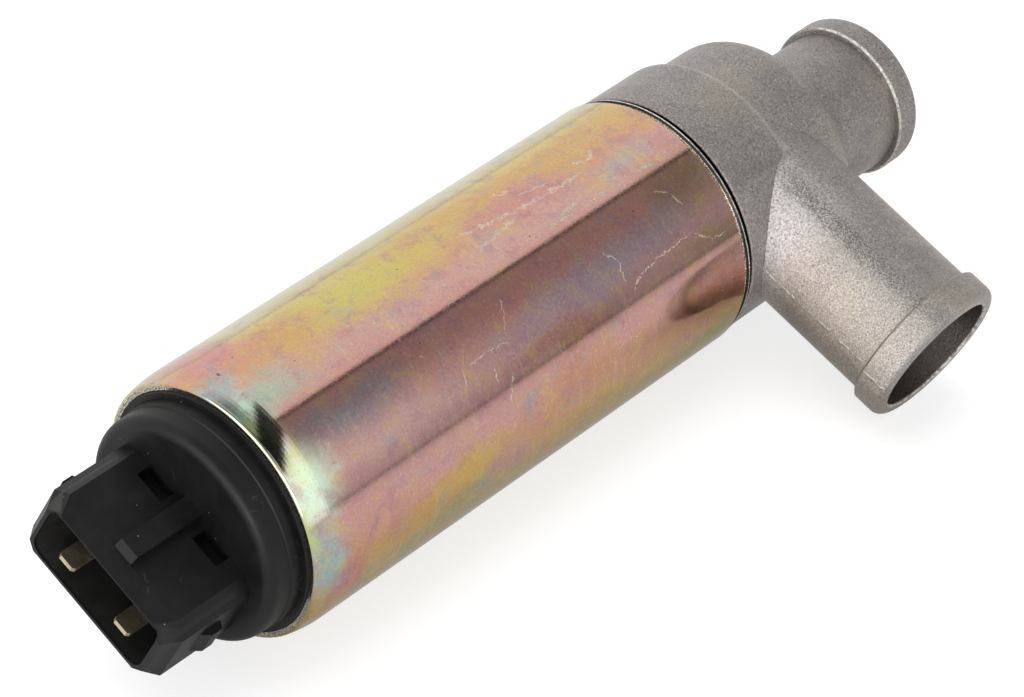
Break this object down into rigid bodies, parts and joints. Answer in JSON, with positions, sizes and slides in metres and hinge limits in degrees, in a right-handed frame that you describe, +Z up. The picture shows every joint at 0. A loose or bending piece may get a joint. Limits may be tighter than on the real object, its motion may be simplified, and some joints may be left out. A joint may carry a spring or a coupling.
{
  "type": "idle control valve",
  "caption": "Idle air control valve: plated steel solenoid can, cast housing with two beaded hose tails at right angles, blade connector in a keyed header.",
  "frame": {"origin": "on the can's axis, halfway along its straight wall, which is where the holding clamp grips", "axes": "+X along the body axis from the connector to the axial hose tail, +Z up as the valve lies on a table; the side tail points along -Y and tips down until its bead touches"},
  "size_m": [0.1484, 0.0624, 0.037],
  "materials": {
    "housing": "blasted casting",
    "can": "yellow passivated plate, satin",
    "washer": "bright",
    "gasket": "matt",
    "cap": "moulded, satin",
    "blade": "tinned, dull",
    "seal": "matt",
    "pole_steel": "turned",
    "bright_steel": "ground",
    "bronze": "sintered",
    "bobbin": "moulded",
    "copper": "enamelled wire",
    "guide_brass": "drawn",
    "spring": "drawn wire",
    "sleeve": "honed",
    "spool": "turned"
  },
  "bodies": {
    "stator": {"valve_housing": "housing", "can_body": "can", "joint_washer": "washer", "housing_gasket": "gasket", "connector_cap": "cap", "terminal_blade_left": "blade", "terminal_blade_right": "blade", "cap_seal": "seal", "back_plate": "pole_steel", "fixed_core": "pole_steel", "adjusting_screw": "bright_steel", "rear_bush": "bronze", "front_bush": "bronze", "coil_bobbin": "bobbin", "coil_winding": "copper", "guide_tube": "guide_brass", "lead_wire_left": "copper", "lead_wire_right": "copper", "front_plate": "pole_steel", "shaft_seal": "seal", "return_spring": "spring", "valve_sleeve": "sleeve", "sleeve_ring": "bright_steel"},
    "valve": {"armature": "pole_steel", "armature_shaft": "bright_steel", "valve_spool": "spool", "spool_clip": "bright_steel"}
  },
  "joints": [
    {"name": "valve_slide", "type": "slide", "parent": "stator", "child": "valve", "axis": [-1, 0, 0], "range_m": [0, 0.0045], "stiffness_N_per_m": 600, "springref_m": -0.0025, "deforming": ["return_spring"]}
  ]
}
